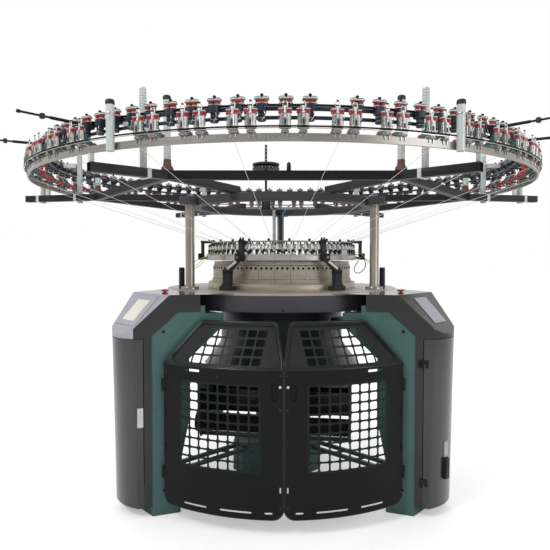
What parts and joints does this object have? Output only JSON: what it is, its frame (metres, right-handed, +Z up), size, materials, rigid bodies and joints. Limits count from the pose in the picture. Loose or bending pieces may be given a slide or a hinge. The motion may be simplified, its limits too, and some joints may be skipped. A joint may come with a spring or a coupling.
{
  "type": "circular knitting machine",
  "caption": "Large circular knitting machine on three hooded legs, with a rotating needle cylinder and take-down, two curved grille gates and a ring of yarn feeders overhead.",
  "frame": {"origin": "on the floor, on the axis of the needle cylinder", "axes": "+Z up along the cylinder's axis, -Y towards the gates at the front, +X towards the leg with the drive"},
  "size_m": [3.2894, 3.0204, 2.143],
  "materials": {
    "base_hub": "satin",
    "base_tie_bars": "satin",
    "bed_plate": "machined",
    "bed_ring": "painted",
    "cam_base_ring": "machined",
    "cam_boxes": "ground",
    "columns": "polished",
    "conduit": "matte",
    "console_plates": "satin",
    "control_screen": "glossy",
    "door_latch_left": "bright",
    "door_latch_rear": "bright",
    "door_latch_right": "bright",
    "draw_roller_front": "matte",
    "draw_roller_rear": "matte",
    "drive_belt": "matte",
    "drive_pulley": "machined",
    "feeder_rail": "anodised",
    "frame_arms": "satin",
    "frame_beams": "satin",
    "gate_hinge_pins": "satin",
    "gate_left": "satin",
    "gate_right": "satin",
    "guide_ring": "satin",
    "guide_rods": "matte",
    "hood_door_left": "satin",
    "hood_door_rear": "satin",
    "hood_door_right": "satin",
    "hood_hinge_pins": "satin",
    "hood_left": "satin",
    "hood_rear": "satin",
    "hood_right": "satin",
    "leg_left": "satin",
    "leg_rear": "satin",
    "leg_right": "satin",
    "lower_feeders": "satin",
    "main_gear": "machined",
    "motor": "painted",
    "motor_pulley": "machined",
    "needle_cylinder": "machined",
    "outer_ring": "machined",
    "pinion_shaft": "machined",
    "post_caps": "matte",
    "post_tubes": "satin",
    "pulley_housing": "machined",
    "quality_pulley": "satin",
    "ring_brackets": "satin",
    "sinker_brackets": "painted",
    "sinker_ring": "machined",
    "spreader_bar": "satin",
    "stop_button_left": "gloss",
    "stop_button_right": "gloss",
    "takedown_frame": "satin",
    "takedown_panel": "gloss",
    "takedown_skirt": "satin",
    "top_plate": "painted",
    "upper_feeders": "satin",
    "winding_roller": "matte",
    "yarn_guides": "satin",
    "yarns": "soft"
  },
  "bodies": {
    "machine": {"base_hub": "base_hub", "base_tie_bars": "base_tie_bars", "bed_plate": "bed_plate", "bed_ring": "bed_ring", "cam_base_ring": "cam_base_ring", "cam_boxes": "cam_boxes", "columns": "columns", "conduit": "conduit", "console_plates": "console_plates", "control_screen": "control_screen", "drive_belt": "drive_belt", "feeder_rail": "feeder_rail", "frame_arms": "frame_arms", "frame_beams": "frame_beams", "gate_hinge_pins": "gate_hinge_pins", "guide_ring": "guide_ring", "guide_rods": "guide_rods", "hood_hinge_pins": "hood_hinge_pins", "hood_left": "hood_left", "hood_rear": "hood_rear", "hood_right": "hood_right", "leg_left": "leg_left", "leg_rear": "leg_rear", "leg_right": "leg_right", "lower_feeders": "lower_feeders", "motor": "motor", "outer_ring": "outer_ring", "post_caps": "post_caps", "post_tubes": "post_tubes", "pulley_housing": "pulley_housing", "ring_brackets": "ring_brackets", "sinker_brackets": "sinker_brackets", "sinker_ring": "sinker_ring", "top_plate": "top_plate", "upper_feeders": "upper_feeders", "yarn_guides": "yarn_guides", "yarns": "yarns"},
    "cylinder_and_takedown": {"main_gear": "main_gear", "needle_cylinder": "needle_cylinder", "takedown_skirt": "takedown_skirt", "takedown_frame": "takedown_frame", "takedown_panel": "takedown_panel", "spreader_bar": "spreader_bar"},
    "drive_shaft": {"pinion_shaft": "pinion_shaft", "drive_pulley": "drive_pulley"},
    "motor_shaft": {"motor_pulley": "motor_pulley"},
    "winding": {"winding_roller": "winding_roller"},
    "draw_front": {"draw_roller_front": "draw_roller_front"},
    "draw_rear": {"draw_roller_rear": "draw_roller_rear"},
    "quality_wheel": {"quality_pulley": "quality_pulley"},
    "left_gate": {"gate_left": "gate_left"},
    "right_gate": {"gate_right": "gate_right"},
    "left_button": {"stop_button_left": "stop_button_left"},
    "right_button": {"stop_button_right": "stop_button_right"},
    "left_hood_door": {"hood_door_left": "hood_door_left", "door_latch_left": "door_latch_left"},
    "right_hood_door": {"hood_door_right": "hood_door_right", "door_latch_right": "door_latch_right"},
    "rear_hood_door": {"hood_door_rear": "hood_door_rear", "door_latch_rear": "door_latch_rear"}
  },
  "joints": [
    {"name": "cylinder_spin", "type": "hinge", "parent": "machine", "child": "cylinder_and_takedown", "pos_m": [0, 0, 1], "axis": [0, 0, 1], "continuous": true},
    {"name": "drive_shaft_spin", "type": "hinge", "parent": "machine", "child": "drive_shaft", "pos_m": [0.38208, -0.36006, 1], "axis": [0, 0, 1], "continuous": true},
    {"name": "motor_spin", "type": "hinge", "parent": "machine", "child": "motor_shaft", "pos_m": [0.69138, -0.65153, 0.9], "axis": [0, 0, 1], "continuous": true},
    {"name": "quality_pulley_spin", "type": "hinge", "parent": "machine", "child": "quality_wheel", "pos_m": [-0.109, 0.54, 1.9], "axis": [0, 0, 1], "continuous": true},
    {"name": "winding_roller_spin", "type": "hinge", "parent": "cylinder_and_takedown", "child": "winding", "pos_m": [-0.05944, -0.37532, 0.333], "axis": [0.9877, -0.1564, 0], "continuous": true},
    {"name": "draw_roller_front_spin", "type": "hinge", "parent": "cylinder_and_takedown", "child": "draw_front", "pos_m": [-0.00626, -0.03951, 0.47], "axis": [0.9877, -0.1564, 0], "continuous": true},
    {"name": "draw_roller_rear_spin", "type": "hinge", "parent": "cylinder_and_takedown", "child": "draw_rear", "pos_m": [0.00258, 0.0163, 0.47], "axis": [0.9877, -0.1564, 0], "continuous": true},
    {"name": "gate_left_hinge", "type": "hinge", "parent": "machine", "child": "left_gate", "pos_m": [-0.60338, -0.81245, 0.45], "axis": [0, 0, -1], "range_deg": [0, 85]},
    {"name": "gate_right_hinge", "type": "hinge", "parent": "machine", "child": "right_gate", "pos_m": [0.60338, -0.81245, 0.45], "axis": [0, 0, 1], "range_deg": [0, 85]},
    {"name": "hood_door_left_hinge", "type": "hinge", "parent": "machine", "child": "left_hood_door", "pos_m": [-0.8774, -0.63786, 0.47], "axis": [0, 0, -1], "range_deg": [0, 90]},
    {"name": "hood_door_right_hinge", "type": "hinge", "parent": "machine", "child": "right_hood_door", "pos_m": [0.68877, -0.83802, 0.47], "axis": [0, 0, -1], "range_deg": [0, 90]},
    {"name": "hood_door_rear_hinge", "type": "hinge", "parent": "machine", "child": "rear_hood_door", "pos_m": [0.13752, 1.076, 0.47], "axis": [0, 0, -1], "range_deg": [0, 90]},
    {"name": "stop_button_left_press", "type": "slide", "parent": "machine", "child": "left_button", "axis": [0, 0, -1], "range_m": [0, 0.005], "stiffness_N_per_m": 600, "springref_m": -0.003},
    {"name": "stop_button_right_press", "type": "slide", "parent": "machine", "child": "right_button", "axis": [0, 0, -1], "range_m": [0, 0.005], "stiffness_N_per_m": 600, "springref_m": -0.003}
  ],
  "couplings": [
    {"joint": "drive_shaft_spin", "follows": "cylinder_spin", "ratio": -4},
    {"joint": "motor_spin", "follows": "cylinder_spin", "ratio": -8},
    {"joint": "quality_pulley_spin", "follows": "cylinder_spin", "ratio": -2},
    {"joint": "winding_roller_spin", "follows": "cylinder_spin", "ratio": 1},
    {"joint": "draw_roller_front_spin", "follows": "cylinder_spin", "ratio": 2},
    {"joint": "draw_roller_rear_spin", "follows": "cylinder_spin", "ratio": -2}
  ]
}
